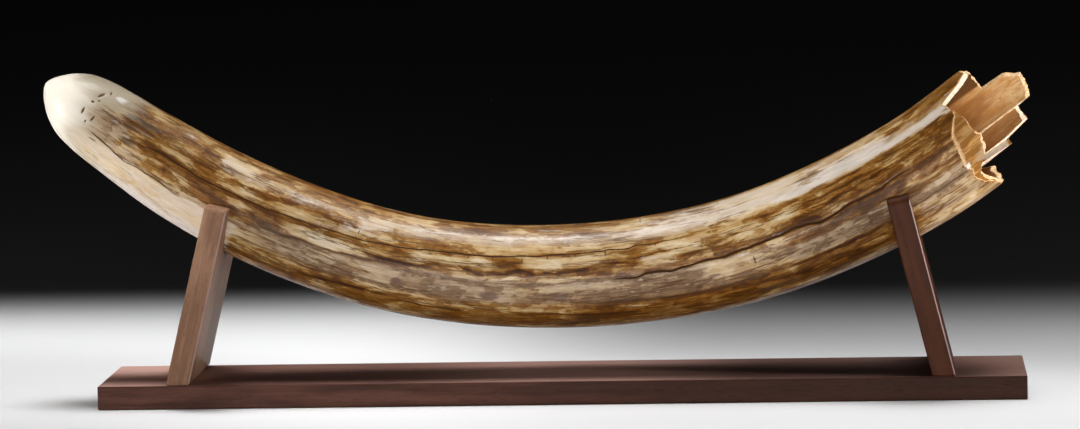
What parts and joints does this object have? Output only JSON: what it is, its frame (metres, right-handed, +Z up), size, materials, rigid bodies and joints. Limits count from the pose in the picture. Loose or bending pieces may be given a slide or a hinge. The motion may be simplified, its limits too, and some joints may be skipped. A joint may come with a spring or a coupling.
{
  "type": "mammoth tusk on stand",
  "caption": "Curved mammoth tusk, blunt at the tip and splintered open at the root, resting in two notched leaning posts on a long flat board.",
  "frame": {"origin": "centre of the base board's underside", "axes": "+X along the board towards the tusk's broken root, +Z up, -Y towards the side the tusk is viewed from"},
  "size_m": [0.915, 0.146, 0.3041],
  "materials": {
    "ivory": "polished fossil ivory, cream with golden-brown streaks along the grain",
    "walnut": "dark reddish-brown hardwood with a satin oil finish"
  },
  "bodies": {
    "root": {"tusk": "ivory", "base_board": "walnut", "tip_end_post": "walnut", "root_end_post": "walnut"}
  },
  "joints": []
}
